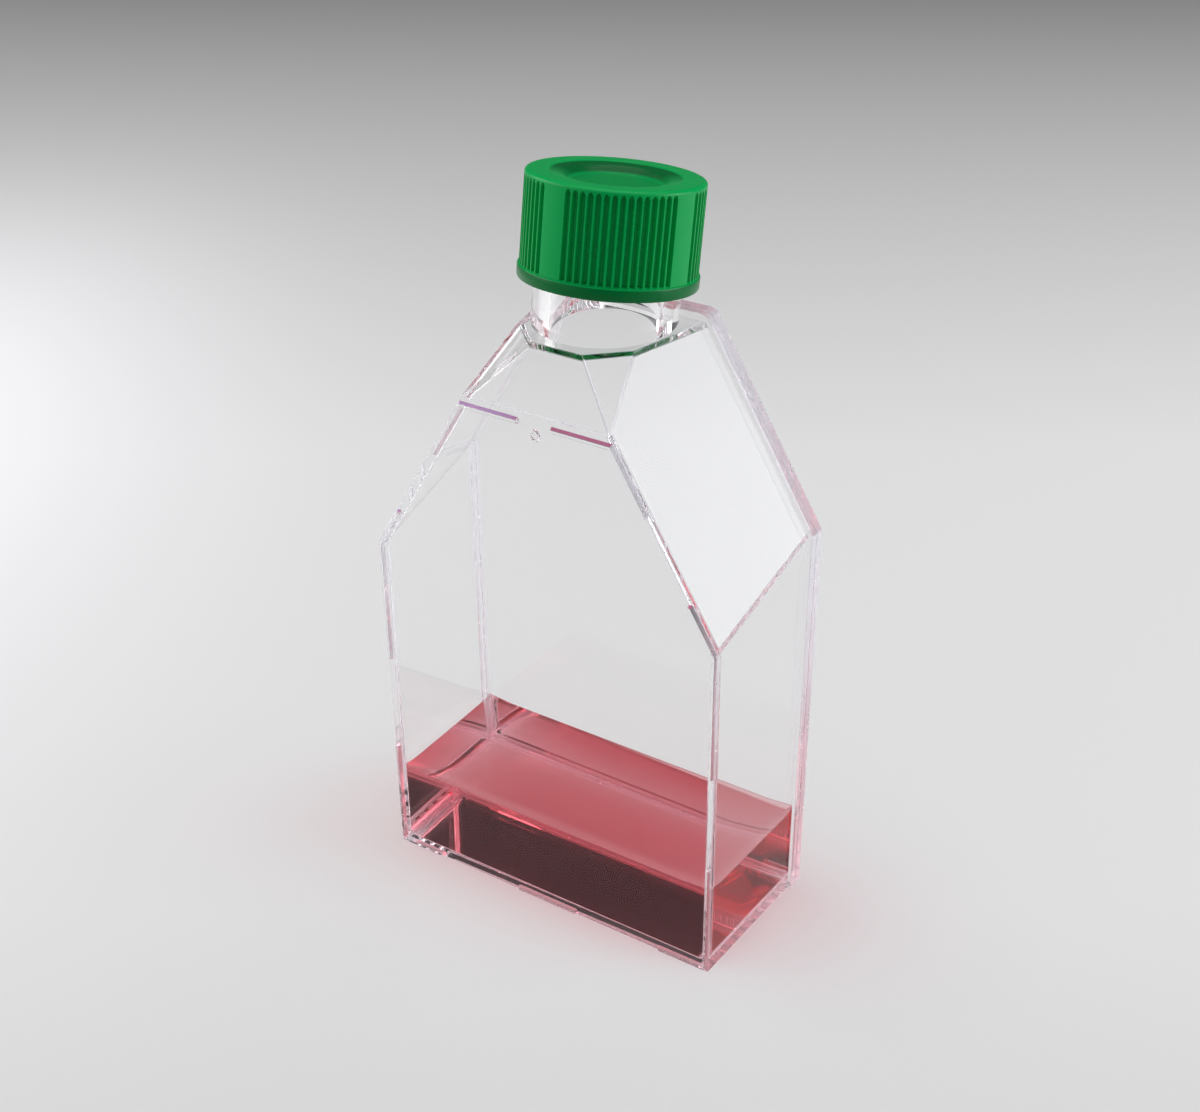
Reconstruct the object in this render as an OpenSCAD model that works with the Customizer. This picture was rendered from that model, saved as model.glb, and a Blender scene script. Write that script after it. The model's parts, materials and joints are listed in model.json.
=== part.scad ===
// Cell culture flask: an injection-moulded clear tray with a canted round neck, a flat cover plate
// welded over its open side, a one-piece screw cap with a plug seal, and the liquid medium inside.
// Units are millimetres. +Z is up along the flask, the neck at the top. The origin is the middle of
// the base end, on the floor. -Y faces out of the growth side, +Y out of the cover plate.

/* [Body] */
// Width of the growth side, at its front edge
body_width = 47; // [44:0.5:50]
// Depth from the stacking ridges to the outside of the cover plate
body_depth = 21.7; // [20.8:0.1:23.4]
// Height of the shoulder on the growth side
front_shoulder_height = 45.2; // [43:0.2:47]
// Height of the shoulder at the cover plate
back_shoulder_height = 51.2; // [50:0.2:52.4]
// Height of the edge where the growth side ends and the ramp starts
ramp_foot_height = 67; // [66:0.1:68]
// Length of that edge
ramp_foot_width = 20.1; // [19:0.1:21]
// Height of the top wall that carries the neck
top_wall_height = 74; // [73.2:0.1:75]
// Distance from the front to the ramp's upper edge
ramp_run = 4.5; // [4:0.1:5]
// Length of the ramp's upper edge
ramp_top_width = 6.9; // [6:0.1:8]
// Distance from the front to the corner of the top wall beside the ramp
ramp_corner_run = 8.4; // [8:0.1:9]
// How much wider each side is at the cover plate than at the front
side_draft = 0.5; // [0.2:0.1:0.7]
// Thickness of the moulded walls
wall = 1.0; // [0.8:0.05:1.4]

/* [Stacking ridges] */
// Height of the ridges on the growth side
ridge_height = 0.4; // [0.3:0.05:0.5]
// Width of the ridges
ridge_width = 0.85; // [0.6:0.05:1.1]
// Length of the ridges along the base from each corner
ridge_base_length = 7.3; // [6:0.1:9]
// Length of the short ridge in the middle of the base edge
ridge_middle_length = 9.2; // [7:0.1:11]
// Height at which the lower side ridges end
ridge_low_end = 15.8; // [12:0.2:20]
// Height at which the upper side ridges start
ridge_high_start = 28.4; // [25:0.2:33]
// Height at which the ridges round the shoulder end on the slanted edge
ridge_slant_end = 50.6; // [49:0.2:52]
// Height at which the ridges below the ramp start on the slanted edge
ridge_slant_start = 59.2; // [58:0.2:60]
// Gap between the two ridges below the ramp
ridge_top_gap = 3.9; // [3:0.1:6]
// Diameter of the moulding gate mark
gate_diameter = 1.5; // [1:0.1:2]

/* [Cover plate and flange] */
// Thickness of the cover plate
plate_thickness = 1.3; // [1.1:0.05:1.5]
// Thickness of the tray's flange under the plate
flange_thickness = 1.1; // [0.9:0.05:1.3]
// How far the flange stands out of the tray walls
flange_lip = 0.45; // [0.3:0.05:0.6]
// How far the flange stands above the top wall
flange_rise = 0.9; // [0.6:0.05:1.1]
// Radius of the plate's and flange's corners beside the neck
plate_corner_radius = 1.4; // [1:0.1:1.8]
// Chamfer round the outer edge of the cover plate
plate_chamfer = 0.3; // [0.15:0.05:0.4]

/* [Neck] */
// Angle by which the neck leans towards the cover plate
neck_cant = 9; // [6:0.5:10]
// Distance of the neck's axis behind the middle of the body, at the top wall
neck_offset = 3.3; // [2.8:0.1:3.4]
// Radius of the neck's smooth collar
neck_radius = 8.2; // [8:0.05:8.3]
// Radius of the neck's upper part, at the root of its thread
neck_root_radius = 7.5; // [7.4:0.05:7.6]
// Radius of the bore
bore_radius = 6.1; // [5.9:0.05:6.2]
// Length of the neck along its axis, from the top wall to the mouth
neck_length = 14.5; // [14:0.05:15]
// Length of the smooth collar along the axis
collar_length = 5.6; // [5.2:0.1:6]

/* [Cap] */
// Outer radius of the cap's grip
cap_radius = 9.85; // [9.7:0.05:10.2]
// Height of the cap
cap_height = 11.6; // [11.3:0.05:12]
// Radius of the space inside the cap that takes the neck
cap_inner_radius = 8.65; // [8.5:0.05:8.75]
// Gap between the neck's mouth and the cap's inside
cap_seat_clearance = 0.05; // [0.02:0.01:0.1]
// Clearance between the plug seal and the bore
plug_clearance = 0.08; // [0.05:0.01:0.15]
// Length of the plug seal below the cap's inside
plug_length = 3.3; // [2.5:0.1:3.8]
// Thickness of the plug seal's wall
plug_wall = 1.2; // [1:0.05:1.4]
// Thickness of the cap's crown
crown_thickness = 1.4; // [1.3:0.05:1.6]
// Thickness of the floor of the recess
recess_floor_thickness = 1.1; // [0.9:0.05:1.3]
// Depth of the recess in the crown
recess_depth = 1; // [0.8:0.05:1.2]
// Radius of the recess at its rim
recess_rim_radius = 7; // [6.8:0.05:7.4]
// Radius of the flat floor of the recess
recess_floor_radius = 5; // [4.8:0.05:5.2]
// Width of the sloping shoulder round the crown
shoulder_width = 0.65; // [0.5:0.05:0.8]
// Drop of that shoulder
shoulder_drop = 0.4; // [0.3:0.05:0.6]
// Height of the smooth ring at the foot of the cap
ring_height = 1.4; // [1.2:0.1:1.8]
// How far that ring stands out of the grip
ring_step = 0.2; // [0.1:0.05:0.3]
// Depth of the grip grooves
groove_depth = 0.42; // [0.3:0.02:0.46]
// Width of a grip groove, in degrees round the cap
groove_angle = 2.6; // [2.2:0.1:3]
// Pitch of the grip grooves, in degrees round the cap
groove_pitch = 4.95; // [4.8:0.05:5.1]
// Direction of the first smooth panel, in degrees from +X
panel_direction = 82.4; // [0:0.2:90]

/* [Medium] */
// Height of the liquid's surface above the floor
fill_height = 10.5; // [6:0.5:14]
// Clearance between the liquid and the walls, in place of wetting
medium_clearance = 0.02; // [0.01:0.01:0.05]

/* [View] */
// Which part to show

/* [Hidden] */
$fn = 96;
grooves_per_side = 15;
corner_steps = 8;
// how far joined pieces reach into each other, and how far cutters reach past what they cut
joint = 0.01;
beyond = 1;
// how far the inner corner beside the ramp moves back for each millimetre of wall
corner_setback = 0.35;
// the gate mark: its height, and how far its middle lies below the growth side's upper edge
gate_height = 0.15;
gate_drop = 1.7;
// the neck: how deep its collar roots below the top wall, and the cones above the collar and at the mouth
neck_root_depth = 1.35;
collar_cone = 0.5;
mouth_chamfer = 0.3;
// the neck's root is flush with the tray's flange up to this far below the top wall
root_margin = 0.5;
// the cap: its small chamfers, the lead of its plug and the broken edge of its recess
cap_edge = 0.15;
plug_lead = 0.25;
recess_lip_width = 0.3;
recess_lip_drop = 0.1;
// a groove's floor is this share of its width at the grip
groove_taper = 0.6;
clear_color = [0.86, 0.88, 0.90, 0.45];
cap_color = [0, 0.5, 0.22];
medium_color = [0.86, 0.28, 0.33, 0.7];

front_y = -body_depth / 2;
back_y = body_depth / 2;
face_y = front_y + ridge_height;
plate_y = back_y - plate_thickness;
flange_y = plate_y - flange_thickness;
front_half = body_width / 2;
foot_half = ramp_foot_width / 2;
back_half = front_half + side_draft;

// The slanted side wall is one plane through three of its corners: n . p = d
edge_a = [foot_half, front_y, ramp_foot_height];
edge_b = [front_half, front_y, front_shoulder_height];
edge_c = [back_half, flange_y, back_shoulder_height];
slant_raw = cross(edge_b - edge_a, edge_c - edge_b);
slant_n = slant_raw / norm(slant_raw);
slant_d = slant_n * edge_a;
function slant_x(y, z, inset) = (slant_d - inset - slant_n[1] * y - slant_n[2] * z) / slant_n[0];
function slant_z(x, y, inset) = (slant_d - inset - slant_n[0] * x - slant_n[1] * y) / slant_n[2];

// The side wall is a plane that opens by side_draft from the front to the flange
function side_x(y, inset) = front_half + side_draft * (y - front_y) / (flange_y - front_y) - inset;

// The ramp is a plane through the growth side's upper edge and the top wall's front edge
ramp_rise = top_wall_height - ramp_foot_height;
ramp_length = sqrt(ramp_run * ramp_run + ramp_rise * ramp_rise);
function ramp_z(y, inset) =
    ramp_foot_height + (y - front_y) * ramp_rise / ramp_run - inset * ramp_length / ramp_run;
function ramp_y(z, inset) =
    front_y + (z - ramp_foot_height) * ramp_run / ramp_rise + inset * ramp_length / ramp_rise;

// The corners of a section across the flask at depth y, set in from the outside by an inset
function section_low(y, inset) = [
    [-side_x(y, inset), inset],
    [side_x(y, inset), inset],
    [side_x(y, inset), slant_z(side_x(y, inset), y, inset)]
];
function section(y, z_top, inset) = concat(
    section_low(y, inset),
    [
        [slant_x(y, z_top, inset), z_top],
        [-slant_x(y, z_top, inset), z_top],
        [-side_x(y, inset), slant_z(side_x(y, inset), y, inset)]
    ]);

// A slab that stands from depth y, with the outline in X and Z that its child draws
module upright(y, thickness) {
    translate([0, y + thickness, 0])
        rotate([90, 0, 0])
            linear_extrude(height = thickness)
                children();
}

// A cutter that reaches past the tray on both sides, through the ridges, between two heights
module ridge_gap(z_from, z_to) {
    translate([-body_width, front_y - beyond, z_from])
        cube([2 * body_width, ridge_height + 2 * beyond, z_to - z_from]);
}

// The convex block of the tray, from its front face to the depth y_end, set in by an inset
module tray_block(y_start, y_end, inset) {
    z_top = top_wall_height - inset;
    corner_y = front_y + ramp_corner_run + corner_setback * inset;
    corner_x = slant_x(corner_y, z_top, inset);
    hull() {
        upright(y_start, joint)
            polygon(section(y_start, ramp_z(y_start, inset), inset));
        upright(y_end - joint, joint)
            polygon(section(y_end, z_top, inset));
        translate([0, 0, z_top - joint])
            linear_extrude(height = joint)
                polygon([
                    [-ramp_top_width / 2, ramp_y(z_top, inset)],
                    [ramp_top_width / 2, ramp_y(z_top, inset)],
                    [corner_x, corner_y],
                    [-corner_x, corner_y]
                ]);
    }
}

// The outline of the growth side, set in by an inset within its own plane
function line_meet(p, u, q, v) =
    p + u * (((q[0] - p[0]) * v[1] - (q[1] - p[1]) * v[0]) / (u[0] * v[1] - u[1] * v[0]));
slant_dir = [foot_half - front_half, ramp_foot_height - front_shoulder_height];
slant_in = [-slant_dir[1], slant_dir[0]] / norm(slant_dir);
function face_corner(inset) = line_meet(
    [front_half - inset, 0], [0, 1],
    [front_half, front_shoulder_height] + inset * slant_in, slant_dir);
function face_top(inset) = line_meet(
    [0, ramp_foot_height - inset], [1, 0],
    [front_half, front_shoulder_height] + inset * slant_in, slant_dir);
function face_outline(inset) = [
    [-(front_half - inset), inset],
    [front_half - inset, inset],
    face_corner(inset),
    face_top(inset),
    [-face_top(inset)[0], face_top(inset)[1]],
    [-face_corner(inset)[0], face_corner(inset)[1]]
];

// Ridges along the edges of the growth side, with their gaps
module stacking_ridges() {
    base_gap = front_half - ridge_base_length - ridge_middle_length / 2;
    difference() {
        upright(front_y, ridge_height + joint)
            polygon(face_outline(0));
        upright(front_y - beyond, ridge_height + 2 * beyond)
            polygon(face_outline(ridge_width));
        for (side = [-1, 1])
            translate([side * (ridge_middle_length + base_gap) / 2, 0, 0])
                translate([-base_gap / 2, front_y - beyond, -beyond])
                    cube([base_gap, ridge_height + 2 * beyond, ridge_width + 2 * beyond]);
        ridge_gap(ridge_low_end, ridge_high_start);
        ridge_gap(ridge_slant_end, ridge_slant_start);
        translate([-ridge_top_gap / 2, front_y - beyond, ramp_foot_height - ridge_width - beyond])
            cube([ridge_top_gap, ridge_height + 2 * beyond, ridge_width + 2 * beyond]);
    }
    translate([0, face_y + joint, ramp_foot_height - gate_drop])
        rotate([90, 0, 0])
            cylinder(h = gate_height + joint, d = gate_diameter);
}

// The direction in X and Z in which the slanted side faces
slant_plan = sqrt(slant_n[0] * slant_n[0] + slant_n[2] * slant_n[2]);
slant_nx = slant_n[0] / slant_plan;
slant_nz = slant_n[2] / slant_plan;
slant_angle = atan2(slant_nz, slant_nx);

function arc(center, radius, from, to, steps) = [
    for (k = [0:steps])
        let (angle = from + (to - from) * k / steps)
            center + radius * [cos(angle), sin(angle)]
];

// The outline shared by the flange and the cover plate, with an extra inset
module rim_outline(inset) {
    lip = flange_lip - inset;
    half = side_x(flange_y, -lip);
    corner_z = top_wall_height + flange_rise - inset - plate_corner_radius;
    corner_x = slant_x(flange_y, corner_z, -lip) - plate_corner_radius / slant_nx;
    polygon(concat(
        [
            [-half, max(inset, 0)],
            [half, max(inset, 0)],
            [half, slant_z(half, flange_y, -lip)]
        ],
        arc([corner_x, corner_z], plate_corner_radius, slant_angle, 90, corner_steps),
        arc([-corner_x, corner_z], plate_corner_radius, 90, 180 - slant_angle, corner_steps),
        [[-half, slant_z(half, flange_y, -lip)]]
    ));
}

// Places its children on the neck's axis: local z = 0 at the top wall, z along the neck
module on_neck() {
    translate([0, neck_offset, top_wall_height])
        rotate([-neck_cant, 0, 0])
            children();
}

// The outside of the neck; its root passes through the cover plate's upper edge only
module neck_outside() {
    difference() {
        on_neck() {
            translate([0, 0, -neck_root_depth])
                cylinder(h = neck_root_depth + collar_length, r = neck_radius);
            translate([0, 0, collar_length])
                cylinder(h = collar_cone, r1 = neck_radius, r2 = neck_root_radius);
            cylinder(h = neck_length - mouth_chamfer, r = neck_root_radius);
            translate([0, 0, neck_length - mouth_chamfer])
                cylinder(h = mouth_chamfer, r1 = neck_root_radius, r2 = neck_root_radius - mouth_chamfer);
        }
        translate([-body_width / 2, plate_y, 0])
            cube([body_width, body_depth, top_wall_height - root_margin]);
    }
}

module flask_body() {
    color(clear_color)
        difference() {
            union() {
                tray_block(face_y, flange_y + joint, 0);
                stacking_ridges();
                upright(flange_y, flange_thickness)
                    rim_outline(0);
                neck_outside();
            }
            tray_block(face_y + wall, plate_y + beyond, wall);
            on_neck()
                translate([0, 0, -neck_radius])
                    cylinder(h = neck_radius + neck_length + beyond, r = bore_radius);
        }
}

module cover_plate() {
    color(clear_color)
        difference() {
            union() {
                upright(plate_y, plate_thickness - plate_chamfer)
                    rim_outline(0);
                upright(back_y - plate_chamfer - joint, plate_chamfer + joint)
                    rim_outline(plate_chamfer);
            }
            neck_outside();
        }
}

// Half-section of the cap, with local z = 0 at its lower edge
module cap_section() {
    seat = cap_height - crown_thickness;
    plug_radius = bore_radius - plug_clearance;
    floor_z = cap_height - recess_depth;
    under_z = floor_z - recess_floor_thickness;
    polygon([
        [cap_inner_radius, 0],
        [cap_radius + ring_step - cap_edge, 0],
        [cap_radius + ring_step, cap_edge],
        [cap_radius + ring_step, ring_height - cap_edge],
        [cap_radius, ring_height],
        [cap_radius, cap_height - shoulder_drop],
        [cap_radius - shoulder_width * (1 - cos(35)), cap_height - shoulder_drop * (1 - sin(35))],
        [cap_radius - shoulder_width * (1 - cos(65)), cap_height - shoulder_drop * (1 - sin(65))],
        [cap_radius - shoulder_width, cap_height],
        [recess_rim_radius, cap_height],
        [recess_rim_radius - recess_lip_width, cap_height - recess_lip_drop],
        [recess_floor_radius, floor_z],
        [0, floor_z],
        [0, under_z],
        [plug_radius - plug_wall, under_z],
        [plug_radius - plug_wall, seat - plug_length + plug_lead],
        [plug_radius - plug_wall + plug_lead, seat - plug_length],
        [plug_radius - plug_lead, seat - plug_length],
        [plug_radius, seat - plug_length + plug_lead],
        [plug_radius, seat],
        [cap_inner_radius, seat]
    ]);
}

// The grip grooves, as one solid cutter
module grip_grooves() {
    half = groove_angle / 2;
    mid = (grooves_per_side - 1) / 2;
    inner = cap_radius - groove_depth;
    outer = cap_radius + ring_step;
    translate([0, 0, ring_height])
        linear_extrude(height = cap_height - shoulder_drop - groove_depth / 4 - ring_height)
            for (side = [0:1:3])
                for (k = [0:1:grooves_per_side - 1])
                    rotate(panel_direction + 45 + side * 90 + (k - mid) * groove_pitch)
                        polygon([
                            inner * [cos(half * groove_taper), -sin(half * groove_taper)],
                            outer * [1, -sin(half)],
                            outer * [1, sin(half)],
                            inner * [cos(half * groove_taper), sin(half * groove_taper)]
                        ]);
}

cap_lift = neck_length + cap_seat_clearance - (cap_height - crown_thickness);

module cap() {
    color(cap_color)
        on_neck()
            translate([0, 0, cap_lift])
                difference() {
                    rotate_extrude()
                        cap_section();
                    grip_grooves();
                }
}

module culture_medium() {
    gap = medium_clearance;
    color(medium_color)
        intersection() {
            tray_block(face_y + wall + gap, plate_y - gap, wall + gap);
            translate([-body_width, -body_depth, -beyond])
                cube([2 * body_width, 2 * body_depth, fill_height + beyond]);
        }
}

flask_body();
cover_plate();
cap();
culture_medium();
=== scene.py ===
"""Looks of a cell culture flask: a clear moulded tray with a canted neck, its welded cover plate,
a ribbed screw cap, the pink liquid medium inside, and a plain pale studio around them."""

import json
import math
from types import SimpleNamespace

import bmesh
import bpy
from mathutils import Matrix, Vector


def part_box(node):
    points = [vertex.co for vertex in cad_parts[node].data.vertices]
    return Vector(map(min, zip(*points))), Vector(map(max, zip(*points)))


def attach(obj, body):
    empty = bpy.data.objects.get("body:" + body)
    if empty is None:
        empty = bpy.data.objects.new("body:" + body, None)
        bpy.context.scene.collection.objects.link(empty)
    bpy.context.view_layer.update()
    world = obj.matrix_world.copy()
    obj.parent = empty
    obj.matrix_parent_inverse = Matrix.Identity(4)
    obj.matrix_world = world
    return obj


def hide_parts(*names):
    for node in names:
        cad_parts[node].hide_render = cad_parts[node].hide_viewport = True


bl_info = {
    "name": "Cell Culture Flask",
    "version": (1, 0, 0),
    "blender": (4, 5, 0),
    "location": "View3D > Sidebar > Flask",
    "description": "Builds the visual model of a cell culture flask round its packed solids",
    "category": "Object",
}

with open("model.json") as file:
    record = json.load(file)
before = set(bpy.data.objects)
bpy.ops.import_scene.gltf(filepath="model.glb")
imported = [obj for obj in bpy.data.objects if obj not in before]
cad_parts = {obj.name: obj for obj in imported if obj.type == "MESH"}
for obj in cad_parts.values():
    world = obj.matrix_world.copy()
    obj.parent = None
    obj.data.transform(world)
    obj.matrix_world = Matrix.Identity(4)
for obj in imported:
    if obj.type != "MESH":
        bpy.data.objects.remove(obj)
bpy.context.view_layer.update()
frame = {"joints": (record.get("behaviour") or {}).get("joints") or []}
MM = 0.001
# material slots of the clear pieces; the edge and ridge slots carry painted light
WALL, EDGE, RIDGE = 0, 1, 2
POLYSTYRENE_IOR, POLYETHYLENE_IOR, MEDIUM_IOR = 1.59, 1.51, 1.333
# half the size of a box that holds any piece, in millimetres
ROOM = 40
# steps round the neck and the bore
ROUND_STEPS = 128
# the ridges' tops take their painted pink glow above this height, in millimetres
TINT_FROM = 20
# distances from the walls, in millimetres, at which the meniscus has its rows of points
MENISCUS_ROWS = (-0.8, 0.02, 0.1, 0.22, 0.4, 0.65, 1.0, 1.5, 2.2, 3.2, 4.6, 6.4, 8.2)
# the studio's sky: low and high, on both sides, its dim part, and the plain backdrop
SKY_LOW, SKY_HIGH = (0.03, 0.03, 0.03), (0.50, 0.50, 0.51)
SKY_LEFT, SKY_RIGHT = (0.62, 0.62, 0.63), (0.55, 0.56, 0.58)
SKY_DIM, BACKDROP = (0.055, 0.057, 0.06), (0.56, 0.56, 0.555)
# the recess of the cap: how far in, and how far down, its slope has come
RECESS_SLOPE = [
    (0.2, 0.04), (0.4, 0.12), (0.56, 0.24), (0.68, 0.42), (0.78, 0.64), (0.86, 0.84), (0.93, 0.96),
    (1.0, 1.0),
]
AXIS_LEAN = next(math.atan2(j["axis"][1], j["axis"][2]) for j in frame["joints"])


# Sizes and colours that a user would change


def length(name, description, default):
    """A length property, in metres."""
    return bpy.props.FloatProperty(
        name=name, description=description, default=default, unit="LENGTH", precision=5
    )


def tint(name, description, default):
    """A colour property."""
    return bpy.props.FloatVectorProperty(
        name=name, description=description, default=default, size=3, subtype="COLOR", min=0, max=1
    )


def angle(name, description, degrees):
    """An angle property."""
    return bpy.props.FloatProperty(
        name=name, description=description, default=math.radians(degrees), subtype="ANGLE"
    )


def turns(description, default):
    """A property that says how many turns a thread makes."""
    return bpy.props.FloatProperty(
        name="Turns", description=description, default=default, min=0.5, max=3
    )


class FlaskTraySizes(bpy.types.PropertyGroup):
    """Sizes of the tray and its cover plate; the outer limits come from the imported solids."""

    wall: length("Wall", "Thickness of the moulded walls", 0.0010)
    front_shoulder: length("Front shoulder", "Height of the shoulder on the growth side", 0.0452)
    back_shoulder: length("Back shoulder", "Height of the shoulder at the cover plate", 0.0512)
    ramp_foot: length("Ramp foot", "Height of the edge where the ramp starts", 0.067)
    ramp_foot_width: length("Ramp foot width", "Length of that edge", 0.0201)
    ramp_run: length("Ramp run", "Distance from the front to the ramp's upper edge", 0.0045)
    ramp_top_width: length("Ramp top width", "Length of the ramp's upper edge", 0.0069)
    ramp_corner_run: length("Corner run", "From the front to the top wall's corner", 0.0084)
    side_draft: length("Draft", "How much wider each side is at the cover plate", 0.0005)
    flange_thickness: length("Flange", "Thickness of the flange under the plate", 0.0011)
    flange_lip: length("Lip", "How far the flange stands out of the walls", 0.00045)
    flange_rise: length("Rise", "How far the flange stands above the top wall", 0.0009)
    rim_corner: length("Rim corner", "Radius of the plate's corners beside the neck", 0.0014)
    outer_round: length("Outer rounding", "Radius of the tray's outer edges", 0.00015)
    base_round: length("Base rounding", "Radius of the inner edges beside the base", 0.0012)
    inner_round: length("Inner rounding", "Radius of the tray's inner edges", 0.0002)
    rim_round: length("Rim rounding", "Radius of the flange's and plate's edges", 0.00012)
    weld: length("Weld", "How deep the weld joins the plate and the flange", 0.00002)


class FlaskRidgeSizes(bpy.types.PropertyGroup):
    """Sizes of the stacking ridges on the growth side."""

    height: length("Height", "Height of the ridges", 0.0004)
    width: length("Width", "Width of the ridges", 0.00085)
    base: length("Base ridges", "Length along the base from each corner", 0.0073)
    middle: length("Middle ridge", "Length of the ridge in the middle of the base", 0.0092)
    low_end: length("Low end", "Height at which the lower side ridges end", 0.0158)
    high_start: length("High start", "Height at which the upper side ridges start", 0.0284)
    slant_end: length("Slant end", "Height at which the shoulder ridges end", 0.0506)
    slant_start: length("Slant start", "Height at which the top ridges start", 0.0592)
    top_gap: length("Top gap", "Gap between the two top ridges", 0.0039)
    crest: length("Crest", "Width of the flat crest of the ridges", 0.00026)
    gate: length("Gate mark", "Diameter of the round moulding gate mark", 0.0015)


class FlaskNeckSizes(bpy.types.PropertyGroup):
    """Sizes of the neck and its thread, along the neck's own axis."""

    offset: length("Offset", "Distance of the axis behind the middle, at the top wall", 0.0033)
    root: length("Root", "How far the neck reaches below the top wall", 0.0005)
    collar_radius: length("Collar radius", "Radius of the smooth collar", 0.0082)
    root_radius: length("Root radius", "Radius at the root of the thread", 0.0075)
    bore_radius: length("Bore radius", "Radius of the bore", 0.0061)
    height: length("Height", "Length from the top wall to the mouth", 0.0145)
    collar: length("Collar", "Length of the smooth collar", 0.0056)
    thread_start: length("Thread start", "Where the thread starts along the axis", 0.0071)
    thread_pitch: length("Pitch", "Rise of the thread in one turn", 0.0032)
    thread_crest: length("Crest", "Radius at the crest of the thread", 0.0083)
    thread_turns: turns("How many turns the thread makes", 1.7)


class FlaskCapSizes(bpy.types.PropertyGroup):
    """Sizes of the screw cap, along its own axis."""

    radius: length("Radius", "Outer radius of the grip", 0.00985)
    height: length("Height", "Height of the cap", 0.0116)
    inner_radius: length("Inner radius", "Radius of the space that takes the neck", 0.00865)
    seat_gap: length("Seat gap", "Gap between the mouth and the inside of the crown", 0.00005)
    crown: length("Crown", "Thickness of the crown", 0.0014)
    recess_floor: length("Recess floor", "Thickness of the floor of the recess", 0.0011)
    recess_depth: length("Recess depth", "Depth of the recess in the crown", 0.001)
    recess_rim: length("Recess rim", "Radius of the recess at its rim", 0.0073)
    recess_flat: length("Recess flat", "Radius of the flat floor of the recess", 0.005)
    shoulder_width: length("Shoulder width", "Width of the rounded shoulder", 0.00065)
    shoulder_drop: length("Shoulder drop", "Drop of that shoulder", 0.0004)
    ring_height: length("Ring height", "Height of the smooth ring at the foot", 0.0014)
    ring_step: length("Ring step", "How far the ring stands out of the grip", 0.0002)
    groove_depth: length("Groove depth", "Depth of the grip grooves", 0.0005)
    plug_radius: length("Plug radius", "Outer radius of the plug seal", 0.00602)
    plug_wall: length("Plug wall", "Thickness of the plug seal", 0.0012)
    plug_length: length("Plug length", "Length of the plug seal", 0.0033)
    thread_crest: length("Thread crest", "Radius at the crest of the inner thread", 0.00785)
    thread_turns: turns("How many turns the inner thread makes", 1.3)
    grooves: bpy.props.IntProperty(
        name="Grooves", description="Grip grooves between two smooth panels",
        default=15, min=3, max=30
    )
    groove_pitch: angle("Groove pitch", "Pitch of the grooves round the cap", 4.95)
    panel_direction: angle("Panel direction", "Direction of the first smooth panel", 82.4)


class FlaskMediumSizes(bpy.types.PropertyGroup):
    """The liquid: its level and how it climbs the walls."""

    wetting: length("Wetting", "How far the liquid reaches into the wall's skin", 0.00004)
    rise: length("Rise", "How far the liquid climbs a wall", 0.0015)
    reach: length("Reach", "Distance from the wall over which it falls off", 0.0021)


class FlaskColours(bpy.types.PropertyGroup):
    """Colours of the pieces and of the studio."""

    plastic: tint("Plastic", "Clear polystyrene", (0.998, 0.998, 1.0))
    # painted light: a pale lavender tint for the light that gathers in the rounded edges
    edge: tint("Edge", "Clear polystyrene where light gathers in its edges", (0.96, 0.94, 1.0))
    # painted light: pink ridge tops, lavender on the left half, stand for light from the liquid
    ridge: tint("Ridge", "Ridge tops, where light from the liquid gathers", (0.60, 0.20, 0.34))
    ridge_left: tint("Ridge left", "Ridge tops on the left half", (0.50, 0.30, 0.56))
    cap: tint("Cap", "Green polyethylene of the cap", (0.0, 0.33, 0.072))
    medium: tint("Medium", "Tint of the liquid where it meets the air", (0.97, 0.90, 0.91))
    depth: tint("Medium depth", "Colour that the liquid lets through", (0.86, 0.13, 0.21))
    depth_density: bpy.props.FloatProperty(
        name="Depth density", description="How strongly the liquid absorbs, per metre",
        default=85.0, min=0
    )
    floor: tint("Floor", "Pale studio floor", (0.72, 0.715, 0.71))
    # painted light and shade: glow is a pool of light painted on the floor, near and far darken it
    # before the flask and far behind it
    glow: tint("Glow", "Brighter patch of the floor", (0.99, 0.98, 1.0))
    near: tint("Near floor", "Floor before the flask", (0.58, 0.577, 0.575))
    far: tint("Far floor", "Floor far behind the flask", (0.22, 0.22, 0.215))


GROUPS = {
    "flask_tray": FlaskTraySizes,
    "flask_ridges": FlaskRidgeSizes,
    "flask_neck": FlaskNeckSizes,
    "flask_cap": FlaskCapSizes,
    "flask_medium": FlaskMediumSizes,
    "flask_colours": FlaskColours,
}


def millimetres(group):
    """The lengths of a property group in millimetres, and its other values as they are."""
    values = {}
    for key in group.__annotations__:
        value = getattr(group, key)
        lengthwise = group.bl_rna.properties[key].unit == "LENGTH"
        values[key] = value / MM if lengthwise else value
    return SimpleNamespace(**values)


# Shader building


class Link:
    """A shader socket that takes part in sums and products, each of which adds a Math node."""

    def __init__(self, shader, socket):
        self.shader = shader
        self.socket = socket

    def math(self, operation, *others):
        sockets = dict(enumerate((self, *others)))
        return self.shader.node("ShaderNodeMath", sockets, operation=operation)

    def __add__(self, other):
        return self.math("ADD", other)

    def __sub__(self, other):
        return self.math("SUBTRACT", other)

    def __rsub__(self, other):
        return self.shader.node("ShaderNodeMath", {0: other, 1: self}, operation="SUBTRACT")

    def __mul__(self, other):
        return self.math("MULTIPLY", other)

    def __truediv__(self, other):
        return self.math("DIVIDE", other)

    def __pow__(self, other):
        return self.math("POWER", other)

    __radd__ = __add__
    __rmul__ = __mul__

    def held(self):
        """The value, held between 0 and 1."""
        return self.math("MAXIMUM", 0.0).math("MINIMUM", 1.0)


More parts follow.
